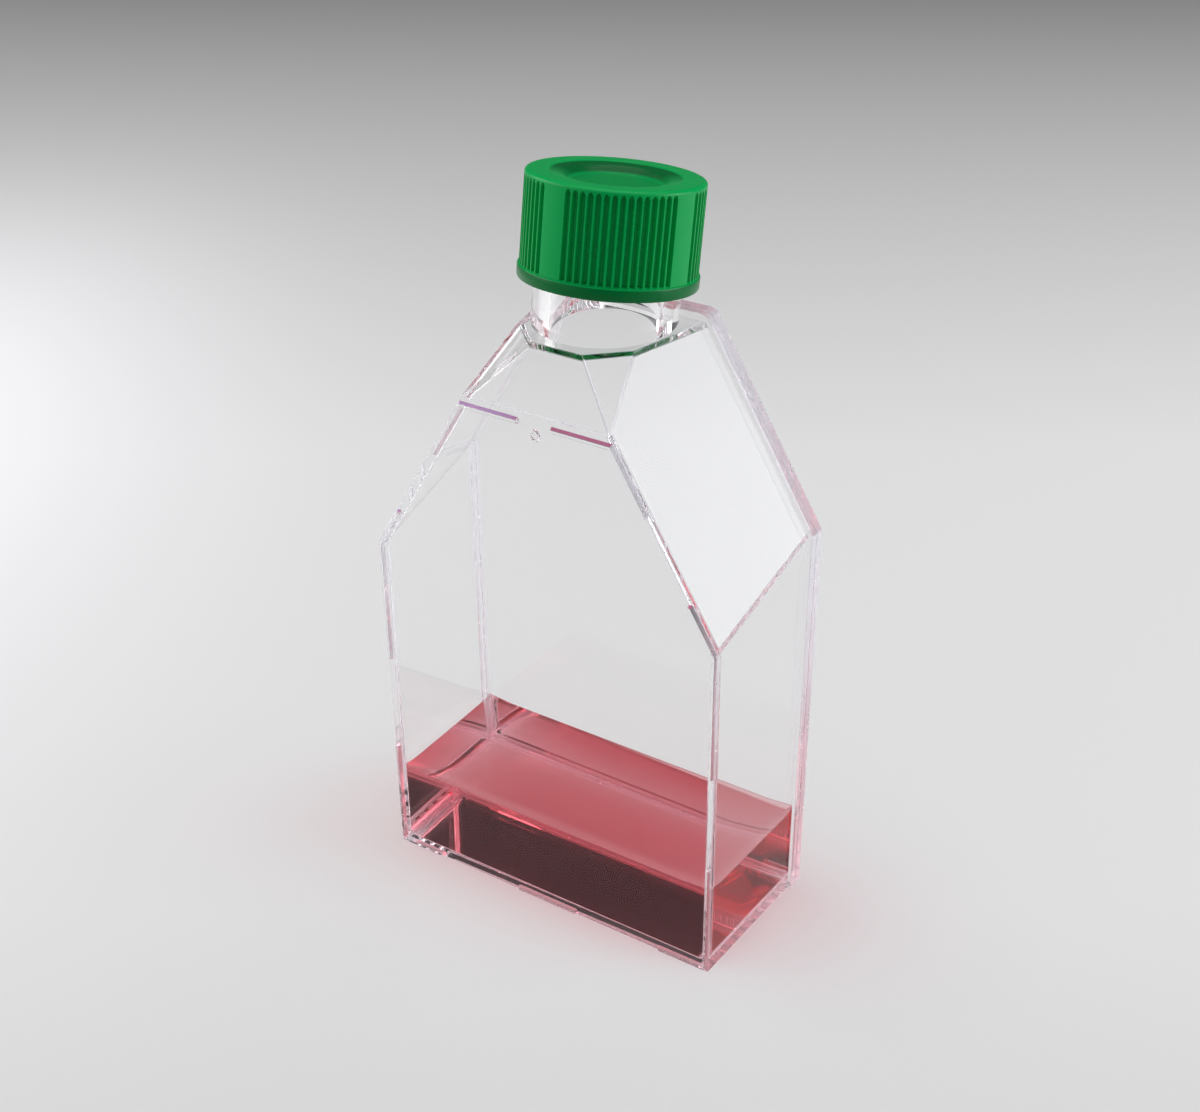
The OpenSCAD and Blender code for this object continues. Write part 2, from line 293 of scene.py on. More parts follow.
class Shader:
    """The node tree of a material or of the world."""

    def __init__(self, owner):
        owner.use_nodes = True
        self.tree = owner.node_tree
        self.tree.nodes.clear()
        self.owner = owner

    def node(self, kind, sockets=None, out=0, **settings):
        """Adds a node: its settings first, then its sockets' values or links."""
        made = self.tree.nodes.new(kind)
        for key, value in settings.items():
            setattr(made, key, value)
        for key, value in (sockets or {}).items():
            if isinstance(value, Link):
                self.tree.links.new(value.socket, made.inputs[key])
            else:
                made.inputs[key].default_value = value
        return Link(self, made.outputs[out]) if made.outputs else made

    def mix(self, factor, low, high):
        """A colour between two colours."""
        sockets = {0: factor, 6: colour4(low), 7: colour4(high)}
        return self.node("ShaderNodeMix", sockets, out=2, data_type="RGBA")

    def noise(self, place, scale, detail):
        """Soft noise over a place, between 0 and 1."""
        sockets = {"Vector": place, "Scale": scale, "Detail": detail}
        return self.node("ShaderNodeTexNoise", sockets)

    def place(self):
        """Where a point is in its object, in metres."""
        return self.node("ShaderNodeTexCoord", out=3)

    def finish(self, surface, **volume):
        """Ends the tree with its output, and gives back its material."""
        self.node("ShaderNodeOutputMaterial", {"Surface": surface, **volume})
        return self.owner

    def part(self, vector, number):
        """One of the three components of a vector."""
        return self.node("ShaderNodeSeparateXYZ", {0: vector}, out=number)


def colour4(value):
    """A colour with its alpha, or a link as it is."""
    return value if isinstance(value, Link) else (*value, 1.0)


def scaled(colour, share):
    """A darker or paler tone of a colour."""
    return tuple(share * c for c in colour)


def along_sight(x, y):
    """How far a place lies along the camera's line of sight, in plan."""
    return y * 0.83 - x * 0.56


def across_sight(x, y):
    """How far a place lies to the right of that line."""
    return x * 0.83 + y * 0.56


def new_material(name):
    """The empty node tree of a new material."""
    return Shader(bpy.data.materials.new(name))


def passing_light(shader, surface, tint_through):
    """The surface, clear to the light that falls through it on what lies behind."""
    path = "ShaderNodeLightPath"
    passing = shader.node(path, out=1).math("MAXIMUM", shader.node(path, out=2))
    clear = shader.node("ShaderNodeBsdfTransparent", {"Color": (*tint_through, 1.0)})
    return shader.node("ShaderNodeMixShader", {0: passing, 1: surface, 2: clear})


def clear_plastic(name, colour, roughness, waviness, clearness, left=None):
    """Clear moulded polystyrene, with faint flow lines and a little haze."""
    shader = new_material(name)
    place = shader.place()
    flow = shader.noise(place, 90.0, 3.0)
    haze = shader.noise(place, 900.0, 2.0)
    bump = shader.node(
        "ShaderNodeBump", {"Height": flow, "Strength": waviness, "Distance": 0.0002}
    )
    tone = shader.mix(flow, colour, scaled(colour, 0.985))
    # painted light: left of the middle, the painted glow turns to another colour
    if left:
        tone = shader.mix(((0.0 - shader.part(place, 0)) / 0.004).held(), tone, left)
    surface = shader.node(
        "ShaderNodeBsdfPrincipled",
        {
            "Base Color": tone,
            "Roughness": haze * roughness,
            "IOR": POLYSTYRENE_IOR,
            "Specular Tint": (0.1, 0.1, 0.1, 1.0),
            "Transmission Weight": clearness,
            "Normal": bump,
        },
    )
    through = passing_light(shader, surface, tuple(0.5 + 0.5 * c for c in colour))
    return shader.finish(through)


def green_polyethylene(colour, axis, cap):
    """Satin moulded polyethylene, with painted shade in the recess and on the foot ring.

    The axis is a point and a direction; the painted shade on the recess's slope lies on its far
    side only.
    """
    shader = new_material("green_polyethylene")
    place = shader.place()
    origin, way = (tuple(part) for part in axis)
    offset = shader.node("ShaderNodeVectorMath", {0: place, 1: origin}, operation="SUBTRACT")
    turned = shader.node("ShaderNodeVectorMath", {0: offset, 1: way}, operation="CROSS_PRODUCT")
    radius = shader.node("ShaderNodeVectorMath", {0: turned}, out=1, operation="LENGTH")
    height = shader.node("ShaderNodeVectorMath", {0: offset, 1: way}, 1, operation="DOT_PRODUCT")
    # painted shade on the slope of the recess, on the side away from the camera only
    slope = ((MM * cap.recess_rim - radius) / 0.0003).held()
    slope = slope * ((radius - MM * cap.recess_flat) / 0.0004).held()
    along = along_sight(shader.part(offset, 0), shader.part(offset, 1))
    slope = slope * ((along + 0.001) / 0.005).held()
    # painted shade on the flat floor of the recess
    floor = ((MM * cap.recess_flat - radius) / 0.0004).held()
    # painted shade on the foot ring, which faces away from the light
    ring = ((MM * cap.ring_height - height) / 0.0001).held()
    flow = shader.noise(place, 160.0, 3.0)
    grain = shader.noise(place, 5200.0, 2.0)
    bump = shader.node(
        "ShaderNodeBump", {"Height": grain, "Strength": 0.10, "Distance": 0.00004}
    )
    tone = shader.mix(flow, colour, scaled(colour, 1.12))
    # the painted shade darkens the slope, the floor and the ring
    for where, share in ((slope, 0.35), (floor, 0.80), (ring, 0.42)):
        tone = shader.mix(where, tone, scaled(colour, share))
    surface = shader.node(
        "ShaderNodeBsdfPrincipled",
        {
            "Base Color": tone,
            "Roughness": 0.26 + 0.08 * grain,
            "IOR": POLYETHYLENE_IOR,
            "Specular IOR Level": 0.15,
            "Subsurface Weight": 0.12,
            "Subsurface Scale": 0.001,
            "Subsurface Radius": (0.4, 1.0, 0.5),
            "Normal": bump,
        },
    )
    return shader.finish(surface)


def liquid(colour, depth, density):
    """The liquid medium: clear at its surface, and pinker the deeper one looks."""
    shader = new_material("culture_liquid")
    place = shader.place()
    drift = shader.noise(place, 60.0, 2.0)
    surface = shader.node(
        "ShaderNodeBsdfPrincipled",
        {
            "Base Color": shader.mix(drift, colour, scaled(colour, 0.98)),
            "Roughness": 0.0,
            "IOR": MEDIUM_IOR,
            "Specular Tint": (0.02, 0.02, 0.02, 1.0),
            "Transmission Weight": 1.0,
        },
    )
    through = passing_light(shader, surface, colour)
    inside = shader.node(
        "ShaderNodeVolumeAbsorption", {"Color": (*depth, 1.0), "Density": density}
    )
    return shader.finish(through, Volume=inside)


def studio_floor(colours):
    """A pale floor: painted light to the left of the flask, painted shade before and far behind it.
    """
    shader = new_material("studio_floor")
    place = shader.place()
    x, y = shader.part(place, 0), shader.part(place, 1)
    along, across = along_sight(x, y), across_sight(x, y)
    # painted shade: the floor darkens far behind the flask and before it
    fade = ((along - 0.12) / 0.42).held() - 0.8 * ((along - 0.7) / 0.4).held()
    near = ((0.0 - along - 0.01) / 0.10).held()
    # a painted pool of light to the left of the flask
    glow = ((along - 0.12) / 0.12) ** 2.0 + ((across + 0.15) / 0.07) ** 2.0
    patch = (0.0 - glow).math("EXPONENT")
    speck = shader.noise(place, 400.0, 3.0)
    colour = shader.mix(fade, tuple(colours.floor), tuple(colours.far))
    colour = shader.mix(near, colour, tuple(colours.near))
    colour = shader.mix(patch, colour, tuple(colours.glow))
    surface = shader.node(
        "ShaderNodeBsdfPrincipled",
        {"Base Color": colour, "Roughness": 0.42 + 0.06 * speck, "IOR": 1.35},
    )
    return shader.finish(surface)


def studio_world(world):
    """Soft light, brighter from both sides and dim behind; the camera sees a plain backdrop."""
    shader = Shader(world)
    way = shader.node("ShaderNodeTexCoord", out=0)
    x, y, z = (shader.part(way, number) for number in range(3))
    along, across = along_sight(x, y), across_sight(x, y)
    dim = ((along - 0.45) / 0.25).held()
    dim = dim.math("MAXIMUM", ((along - 0.05) / 0.12).held() * (across / 0.2).held())
    dim = dim * ((0.85 - z) / 0.2).held()
    left = ((0.0 - across - 0.35) / 0.4).held()
    right = ((across - 0.35) / 0.4).held()
    sky = shader.mix(((z - 0.3) / 0.6).held(), SKY_LOW, SKY_HIGH)
    for where, tone in ((left, SKY_LEFT), (right, SKY_RIGHT), (dim, SKY_DIM)):
        sky = shader.mix(where, sky, tone)
    seen = shader.node("ShaderNodeLightPath", out=0)
    through = shader.node("ShaderNodeLightPath", out=6)
    seen = seen.math("MAXIMUM", through * ((0.35 - z) / 0.1).held())
    colour = shader.mix(seen, sky, BACKDROP)
    glow = shader.node("ShaderNodeBackground", {"Color": colour, "Strength": 1.0})
    shader.node("ShaderNodeOutputWorld", {"Surface": glow})


# Mesh building, in millimetres


def new_piece(name, shape, body, materials, sharp=30.0):
    """A finished piece from a mesh in millimetres: scaled to metres, shaded and set on its body."""
    mesh = bpy.data.meshes.new(name)
    shape.to_mesh(mesh)
    shape.free()
    mesh.transform(Matrix.Scale(MM, 4))
    for material in materials:
        mesh.materials.append(material)
    mesh.shade_smooth()
    mesh.set_sharp_from_angle(angle=math.radians(sharp))
    piece = bpy.data.objects.new(name, mesh)
    bpy.context.scene.collection.objects.link(piece)
    apply_modifier(piece, "WEIGHTED_NORMAL", keep_sharp=True, mode="FACE_AREA", weight=100)
    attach(piece, body)
    return piece


def apply_modifier(piece, kind, **settings):
    """Adds a modifier and applies it to the piece's mesh."""
    modifier = piece.modifiers.new(kind.title(), kind)
    for key, value in settings.items():
        setattr(modifier, key, value)
    graph = bpy.context.evaluated_depsgraph_get()
    mesh = bpy.data.meshes.new_from_object(piece.evaluated_get(graph))
    old = piece.data
    piece.modifiers.clear()
    piece.data = mesh
    bpy.data.meshes.remove(old)


def combined(shape, others, operation):
    """A mesh joined with, or cut by, other meshes."""
    target = scratch(triangulated(shape))
    for other in others:
        tool = scratch(triangulated(other))
        apply_modifier(target, "BOOLEAN", operation=operation, solver="EXACT", object=tool)
        discard(tool)
    return flattened(taken(target), 0.15, delimit={"MATERIAL"})


def triangulated(shape):
    """The shape, with its faces cut into triangles."""
    bmesh.ops.triangulate(shape, faces=shape.faces)
    return shape


def flattened(shape, degrees, **limits):
    """The shape, with neighbouring faces joined where they lie in one plane."""
    bmesh.ops.dissolve_limit(
        shape, angle_limit=math.radians(degrees), verts=shape.verts, edges=shape.edges, **limits
    )
    return shape


def scratch(shape):
    """A short-lived object that takes over the shape."""
    mesh = bpy.data.meshes.new("scratch")
    shape.to_mesh(mesh)
    shape.free()
    for _ in (WALL, EDGE, RIDGE):
        mesh.materials.append(None)
    made = bpy.data.objects.new("scratch", mesh)
    bpy.context.scene.collection.objects.link(made)
    return made


def taken(made):
    """The shape of a short-lived object, which is then removed."""
    shape = bmesh.new()
    shape.from_mesh(made.data)
    discard(made)
    return shape


def discard(made):
    """Removes a short-lived object and its mesh."""
    mesh = made.data
    bpy.data.objects.remove(made)
    bpy.data.meshes.remove(mesh)


def rounded(shape, radius, steps=3, at_base=0.0):
    """Rounds every edge of a shape, with another radius where its sides meet its base.

    The new faces take the material of edges.
    """
    weight = shape.edges.layers.float.new("bevel_weight_edge")
    low = min(vert.co.z for vert in shape.verts) + 0.01
    widest = max(radius, at_base)
    for edge in shape.edges:
        a, b = (vert.co for vert in edge.verts)
        beside_base = at_base > 0 and max(a.z, b.z) < low and abs(a.y - b.y) > abs(a.x - b.x)
        share = (at_base if beside_base else radius) / widest
        edge[weight] = min(1.0, share * math.tan(edge.calc_face_angle(0.0) / 2))
    made = scratch(shape)
    apply_modifier(
        made, "BEVEL", width=widest, segments=steps, limit_method="WEIGHT", material=EDGE,
        offset_type="OFFSET"
    )
    return taken(made)


def edge_haze_and_painted_glow(shape):
    """Gives a standing slab's narrow faces the edges' haze and painted lavender glow."""
    for face in shape.faces:
        if abs(face.normal.y) < 0.5:
            face.material_index = EDGE
    return shape


def convex(points):
    """The convex solid round some points, with flat faces kept whole."""
    shape = bmesh.new()
    for point in points:
        shape.verts.new(point)
    made = bmesh.ops.convex_hull(shape, input=shape.verts)
    spare = [v for v in made["geom_interior"] if isinstance(v, bmesh.types.BMVert)]
    bmesh.ops.delete(shape, geom=spare, context="VERTS")
    flattened(shape, 0.4)
    bmesh.ops.recalc_face_normals(shape, faces=shape.faces)
    return shape


def upright(outline, y_from, y_to):
    """A slab with an outline in X and Z, between two depths."""
    shape = bmesh.new()
    near = [shape.verts.new((x, y_from, z)) for x, z in outline]
    far = [shape.verts.new((x, y_to, z)) for x, z in outline]
    shape.faces.new(near)
    shape.faces.new(far[::-1])
    count = len(outline)
    for i in range(count):
        j = (i + 1) % count
        shape.faces.new((near[j], near[i], far[i], far[j]))
    bmesh.ops.recalc_face_normals(shape, faces=shape.faces)
    return shape


def above(shape, z):
    """The part of a shape above a height."""
    return combined(shape, [upright(square(z, z + ROOM), -ROOM, ROOM)], "INTERSECT")


def square(z_from, z_to):
    """An outline in X and Z that is wider than any piece."""
    return [(-ROOM, z_from), (ROOM, z_from), (ROOM, z_to), (-ROOM, z_to)]


def lathe(profile, steps, place):
    """A body of revolution from radius and height pairs, set in place."""
    angles = [math.tau * i / steps for i in range(steps)]
    rows = [[(r * math.cos(a), r * math.sin(a), z) for a in angles] for r, z in profile]
    return rings(rows, place)


def rings(rows, place, closed=False):
    """A skin over rows of points; it closes on itself, or its two ends are capped."""
    shape = bmesh.new()
    made = [[shape.verts.new(point) for point in row] for row in rows]
    count = len(rows[0])
    for low, high in zip(made, made[1:] + made[:1] if closed else made[1:]):
        for i in range(count):
            j = (i + 1) % count
            shape.faces.new((low[i], low[j], high[j], high[i]))
    if not closed:
        shape.faces.new(made[0][::-1])
        shape.faces.new(made[-1])
    bmesh.ops.recalc_face_normals(shape, faces=shape.faces)
    shape.transform(place)
    return shape


def arc(centre, radius, start, end, steps):
    """Points on an arc, with both ends."""
    angles = [start + (end - start) * k / steps for k in range(steps + 1)]
    return [(centre[0] + radius * math.cos(a), centre[1] + radius * math.sin(a)) for a in angles]


def mirrored(outline):
    """The outline on the other side of the middle plane."""
    return [(-x, z) for x, z in reversed(outline)]


class TrayForm:
    """The planes and corners of the tray in millimetres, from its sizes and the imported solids."""

    def __init__(self, size, ridge_height):
        self.size = size
        body_low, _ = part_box("flask_body")
        plate_low, plate_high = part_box("cover_plate")
        self.front_y = body_low.y / MM
        self.face_y = self.front_y + ridge_height
        self.plate_y = plate_low.y / MM
        self.back_y = plate_high.y / MM
        self.flange_y = self.plate_y - size.flange_thickness
        self.back_half = plate_high.x / MM - size.flange_lip
        self.front_half = self.back_half - size.side_draft
        self.rim_top = plate_high.z / MM
        self.top_z = self.rim_top - size.flange_rise
        self.foot_half = size.ramp_foot_width / 2
        foot = Vector((self.foot_half, self.front_y, size.ramp_foot))
        shoulder = Vector((self.front_half, self.front_y, size.front_shoulder))
        corner = Vector((self.back_half, self.flange_y, size.back_shoulder))
        self.slant = (shoulder - foot).cross(corner - shoulder).normalized()
        self.slant_reach = self.slant.dot(foot)
        self.ramp_rise = self.top_z - size.ramp_foot
        self.ramp_length = math.hypot(size.ramp_run, self.ramp_rise)
        # the slanted edge of the growth side, from its shoulder to the ramp's foot
        self.edge_run = self.foot_half - self.front_half
        self.edge_rise = size.ramp_foot - size.front_shoulder
        self.edge_length = math.hypot(self.edge_run, self.edge_rise)

    def side_x(self, y, inset):
        """Where the side wall is at a depth; each inset moves a plane into the tray."""
        share = (y - self.front_y) / (self.flange_y - self.front_y)
        return self.front_half + self.size.side_draft * share - inset

    def slant_x(self, y, z, inset):
        return (self.slant_reach - inset - self.slant.y * y - self.slant.z * z) / self.slant.x

    def slant_z(self, x, y, inset):
        return (self.slant_reach - inset - self.slant.x * x - self.slant.y * y) / self.slant.z

    def ramp_z(self, y, inset):
        rise = (y - self.front_y) * self.ramp_rise - inset * self.ramp_length
        return self.size.ramp_foot + rise / self.size.ramp_run

    def ramp_y(self, z, inset):
        run = (z - self.size.ramp_foot) * self.size.ramp_run + inset * self.ramp_length
        return self.front_y + run / self.ramp_rise

    def section(self, y, z_top, inset):
        """The right half of a cross section at depth y."""
        side = self.side_x(y, inset)
        return [
            (side, y, inset),
            (side, y, self.slant_z(side, y, inset)),
            (self.slant_x(y, z_top, inset), y, z_top),
        ]

    def block(self, y_from, y_to, inset):
        """The convex block of the tray between two depths, set in by an inset."""
        z_top = self.top_z - inset
        corner_y = self.front_y + self.size.ramp_corner_run + 0.35 * inset
        half = self.section(y_from, self.ramp_z(y_from, inset), inset)
        half += self.section(y_to, z_top, inset)
        half.append((self.size.ramp_top_width / 2, self.ramp_y(z_top, inset), z_top))
        half.append((self.slant_x(corner_y, z_top, inset), corner_y, z_top))
        return convex(half + [(-x, y, z) for x, y, z in half])

    def cavity(self, grow=0.0):
        """The room inside the tray, open to the back, with its rounded edges."""
        inset = self.size.wall - grow
        room = self.block(self.face_y + inset, self.plate_y + 3, inset)
        room = rounded(room, self.size.inner_round, 6, self.size.base_round)
        for face in room.faces:
            # the long edges of the base stay as clear as the walls
            if face.calc_center_median().z < inset + 0.5 and abs(face.normal.x) < 0.2:
                face.material_index = WALL
        return room

    def rim(self, inset):
        """The outline shared by the flange and the cover plate."""
        size = self.size
        lip = size.flange_lip - inset
        half = self.side_x(self.flange_y, -lip)
        angle = math.atan2(self.slant.z, self.slant.x)
        corner_z = self.rim_top - inset - size.rim_corner
        corner_x = self.slant_x(self.flange_y, corner_z, -lip) - size.rim_corner / math.cos(angle)
        right = [(half, inset), (half, self.slant_z(half, self.flange_y, -lip))]
        right += arc((corner_x, corner_z), size.rim_corner, angle, math.pi / 2, 8)
        return right + mirrored(right)

    def slant_at(self, z, inset):
        """Where the slanted edge of the growth side, set in by an inset, is at a height."""
        out = (z - self.size.front_shoulder) * self.edge_run / self.edge_rise
        return self.front_half + out - inset * self.edge_length / self.edge_rise

    def shoulder_at(self, inset):
        """The height of the shoulder of the growth side, set in by an inset."""
        back = inset - inset * self.edge_length / self.edge_rise
        return self.size.front_shoulder - back * self.edge_rise / self.edge_run


def ridge_lines(form, ridge):
    """The middle lines of the stacking ridges on the right-hand side, and the middle one."""
    half, foot = form.front_half, form.size.ramp_foot
    inset = ridge.width / 2 + 0.02
    side = half - inset
    low = [(half - ridge.base + inset, inset), (side, inset), (side, ridge.low_end - inset)]
    high = ridge.slant_end - inset
    shoulder = [
        (side, ridge.high_start + inset), (side, form.shoulder_at(inset)),
        (form.slant_at(high, inset), high),
    ]
    start = ridge.slant_start + inset
    top = [
        (form.slant_at(start, inset), start), (form.slant_at(foot - inset, inset), foot - inset),
        (ridge.top_gap / 2 + inset, foot - inset),
    ]
    middle = [(-ridge.middle / 2 + inset, inset), (ridge.middle / 2 - inset, inset)]
    return [low, shoulder, top], middle


def stroke(line, half):
    """The outline round a line, with mitred bends and round ends."""
    points = [Vector(point) for point in line]
    ways = [(b - a).normalized() for a, b in zip(points, points[1:])]
    sides = [Vector((-way.y, way.x)) for way in ways]

    def end(point, side):
        start = math.atan2(side.y, side.x)
        return arc(point, half, start, start + math.pi, 8)

    def bends(sign):
        found = []
        for point, a, b in zip(points[1:], sides, sides[1:]):
            middle = (a + b).normalized()
            found.append(tuple(point + sign * middle * half / middle.dot(a)))
        return found

    return end(points[0], sides[0]) + bends(-1) + end(points[-1], -sides[-1]) + bends(1)[::-1]


def ridge_bar(form, ridge, line):
    """A stacking ridge with sloping sides and round ends."""
    wide, narrow = ridge.width / 2, ridge.crest / 2
    rows = [
        (form.face_y + 0.3, wide), (form.face_y, wide), (form.front_y + 0.05, narrow + 0.06),
        (form.front_y + 0.012, narrow + 0.02), (form.front_y, narrow - 0.03),
    ]
    bar = rings(
        [[(x, y, z) for x, z in stroke(line, half)] for y, half in rows], Matrix.Identity(4)
    )
    for face in bar.faces:
        # painted light: the tops of the upper ridges take the ridge material's pink glow
        painted_glow = face.normal.z > 0.7 and face.verts[0].co.z > TINT_FROM
        if face.normal.y > -0.95:
            face.material_index = RIDGE if painted_glow else EDGE
    return bar


def neck_place(neck, top_z):
    """The neck's own axes: the origin at the top wall, Z along the neck."""
    return Matrix.Translation((0, neck.offset, top_z)) @ Matrix.Rotation(-AXIS_LEAN, 4, "X")


def helix_ridge(place, base, crest, start, pitch, turns, half_base, half_crest, outward=1):
    """A thread: a ridge that winds round an axis and fades out at both ends.

    It stands on the base radius, outward or, with -1, inward.
    """
    steps = int(72 * turns)
    rows = []
    for i in range(steps + 1):
        angle = math.tau * turns * i / steps
        fade = min(1.0, 6 * i / steps, 6 * (steps - i) / steps)
        fade = 0.05 + 0.95 * math.sin(fade * math.pi / 2)
        top = base + (crest - base) * fade
        middle = start + pitch * turns * i / steps
        root = base - 0.15 * outward
        rows.append([
            (r * math.cos(angle), r * math.sin(angle), middle + rise)
            for r, rise in (
                (root, -half_base), (top, -half_crest * fade),
                (top, half_crest * fade), (root, half_base),
            )
        ])
    return rings(rows, place)


def tray_shape(form, ridge, neck):
    """The whole tray as one closed mesh."""
    size = form.size
    place = neck_place(neck, form.top_z)
    outside = rounded(form.block(form.face_y, form.plate_y - 0.2, 0), size.outer_round)
    flange = upright(form.rim(0), form.flange_y, form.plate_y + size.weld / 2)
    flange = edge_haze_and_painted_glow(rounded(flange, size.rim_round, 2))
    sides, middle = ridge_lines(form, ridge)
    lines = [middle] + sides + [mirrored(line) for line in sides]
    bars = [ridge_bar(form, ridge, line) for line in lines]
    profile = [
        (neck.collar_radius, -4), (neck.collar_radius, neck.collar),
        (neck.root_radius, neck.collar + 0.5), (neck.root_radius, neck.height - 0.35),
        (neck.root_radius - 0.1, neck.height - 0.1), (neck.root_radius - 0.35, neck.height),
    ]
    tube = above(lathe(profile, ROUND_STEPS, place), form.top_z - neck.root)
    thread = helix_ridge(
        place, neck.root_radius, neck.thread_crest, neck.thread_start, neck.thread_pitch,
        neck.thread_turns, half_base=0.75, half_crest=0.3
    )
    dish = [
        (ridge.gate / 2, -0.3), (ridge.gate / 2, 0.12), (0.42 * ridge.gate, 0.22),
        (0.3 * ridge.gate, 0.22), (0.18 * ridge.gate, 0.06), (0.02, 0.02),
    ]
    gate_place = Matrix.Translation((0, form.face_y, size.ramp_foot - 1.7))
    gate = lathe(dish, 32, gate_place @ Matrix.Rotation(math.pi / 2, 4, "X"))
    solid = combined(outside, [flange, *bars, tube, thread, gate], "UNION")
    bore = lathe(
        [
            (neck.bore_radius, -6), (neck.bore_radius, neck.height - 0.3),
            (neck.bore_radius + 0.3, neck.height), (neck.bore_radius + 0.3, neck.height + 1),
        ],
        ROUND_STEPS, place
    )
    return combined(solid, [form.cavity(), bore], "DIFFERENCE")


def plate_shape(form, neck):
    """The cover plate, notched for the neck."""
    size = form.size
    place = neck_place(neck, form.top_z)
    slab = upright(form.rim(0), form.plate_y - size.weld / 2, form.back_y)
    slab = edge_haze_and_painted_glow(rounded(slab, size.rim_round, 3))
    radius = neck.collar_radius - size.weld
    notch = lathe([(radius, -4), (radius, neck.collar)], ROUND_STEPS, place)
    notch = above(notch, form.top_z - neck.root + size.weld)
    return combined(slab, [notch], "DIFFERENCE")


def cap_rows(cap):
    """Radius, height and groove share of each row of the cap, from its foot round to its inside."""
    seat = cap.height - cap.crown
    floor = cap.height - cap.recess_depth
    under = floor - cap.recess_floor
    outer = cap.radius + cap.ring_step
    low, high = cap.ring_height, cap.height - cap.shoulder_drop
    rows = [
        (cap.inner_radius, 0.12, 0), (cap.inner_radius + 0.12, 0, 0), (outer - 0.25, 0, 0),
        (outer - 0.07, 0.05, 0), (outer, 0.2, 0), (outer, low - 0.14, 0),
        (outer - 0.05, low - 0.03, 0), (outer - 0.16, low, 0), (cap.radius - 0.02, low + 0.03, 0),
        (cap.radius, low + 0.10, 0), (cap.radius, low + 0.22, 1),
    ]
    body = high - 1.1
    rows += [(cap.radius, low + 0.22 + (body - low - 0.22) * k / 4, 1) for k in range(1, 5)]
    rows += [(cap.radius, body + (high - 0.04 - body) * k / 12, 1) for k in range(1, 13)]
    for r, z in arc((0, 0), 1, 0, math.pi / 2, 6)[1:]:
        rows.append((
            cap.radius - cap.shoulder_width * (1 - r), high + cap.shoulder_drop * z, 0
        ))
    rim = cap.recess_rim
    rows += [
        (rim + 1.2, cap.height, 0), (rim + 0.10, cap.height, 0), (rim, cap.height - 0.04, 0),
        (rim - 0.12, cap.height - 0.10, 0),
    ]
    slope_r, slope_z = rim - 0.12, cap.height - 0.10
    for share, drop in RECESS_SLOPE:
        rows.append((
            slope_r + (cap.recess_flat - slope_r) * share, slope_z + (floor - slope_z) * drop, 0
        ))
    rows += [
        (cap.recess_flat * 0.55, floor, 0), (0.45, floor, 0), (0.3, floor - 0.05, 0),
        (0.02, floor - 0.06, 0),
    ]
    plug, inner = cap.plug_radius, cap.plug_radius - cap.plug_wall
    tip = seat - cap.plug_length
    rows += [
        (0.02, under, 0), (inner - 0.2, under, 0), (inner, under - 0.2, 0), (inner, tip + 0.25, 0),
        (inner + 0.25, tip, 0), (plug - 0.35, tip, 0), (plug - 0.08, tip + 0.35, 0),
        (plug, tip + 0.8, 0), (plug - 0.05, seat - 0.2, 0), (plug, seat, 0),
        (cap.inner_radius - 0.15, seat, 0), (cap.inner_radius, seat - 0.15, 0),
    ]
    return rows


def groove_angles(cap):
    """Angles round the cap, each with the groove's depth there and its distance from the middle."""
    samples = 10
    half_panel = math.pi / 4 - cap.grooves * cap.groove_pitch / 2
    found = []
    for side in range(4):
        start = cap.panel_direction + side * math.pi / 2
        panel = [start + half_panel * k / 4 for k in range(-4, 4)]
        found += [(angle, 0.0, 1.0) for angle in panel]
        first = start + half_panel
        for k in range(cap.grooves * samples):
            angle = first + cap.groove_pitch * k / samples
            share = (k % samples) / samples * 2 - 1
            off = min(1.0, abs(share) / 0.66)
            found.append((angle, math.sqrt(max(0.0, 1 - off ** 2.6)), off))
    return found


def cap_shape(cap, place):
    """The cap without its thread: grip, crown, recess, skirt and plug seal."""
    high = cap.height - cap.shoulder_drop
    rows = []
    for r, z, grooved in cap_rows(cap):
        row = []
        for angle, depth, off in groove_angles(cap):
            arch = high - 0.08 - 0.32 * off * off
            share = grooved * max(0.0, min(1.0, (arch - z) / 0.28)) ** 0.6
            radius = r - cap.groove_depth * depth * share
            row.append((radius * math.cos(angle), radius * math.sin(angle), z))
        rows.append(row)
    return rings(rows, place, closed=True)


def cap_thread(cap, neck, place):
    """The thread inside the cap, half a pitch above the neck's when the cap is screwed down."""
    start = neck.thread_start + neck.thread_pitch / 2
    return helix_ridge(
        place, cap.inner_radius, cap.thread_crest, start, neck.thread_pitch, cap.thread_turns,
        half_base=0.6, half_crest=0.25, outward=-1
    )


def wetted_outline(form, inset, corner, steps):
    """A plan outline of the inside of the tray at its base, set in, with rounded corners."""
    front, back = form.face_y + form.size.wall + inset, form.plate_y - inset
    near, far = (form.side_x(y, form.size.wall) - inset for y in (front, back))
    corners = [(far, back), (-far, back), (-near, front), (near, front)]
    signs = [(-1, -1), (1, -1), (1, 1), (-1, 1)]
    outline = []
    for quarter, ((x, y), (sx, sy)) in enumerate(zip(corners, signs)):
        centre = (x + sx * corner, y + sy * corner)
        start = quarter * math.pi / 2
        outline += arc(centre, corner, start, start + math.pi / 2, 6)
        nx, ny = corners[(quarter + 1) % 4]
        ahead = signs[(quarter + 1) % 4]
        target = (nx + ahead[0] * corner, ny + ahead[1] * corner)
        end = outline[-1]
        turn_x, turn_y = math.cos(start + math.pi / 2), math.sin(start + math.pi / 2)
        goal = (target[0] + corner * turn_x, target[1] + corner * turn_y)
        outline += [
            (end[0] + (goal[0] - end[0]) * k / steps, end[1] + (goal[1] - end[1]) * k / steps)
            for k in range(1, steps)
        ]
    return outline


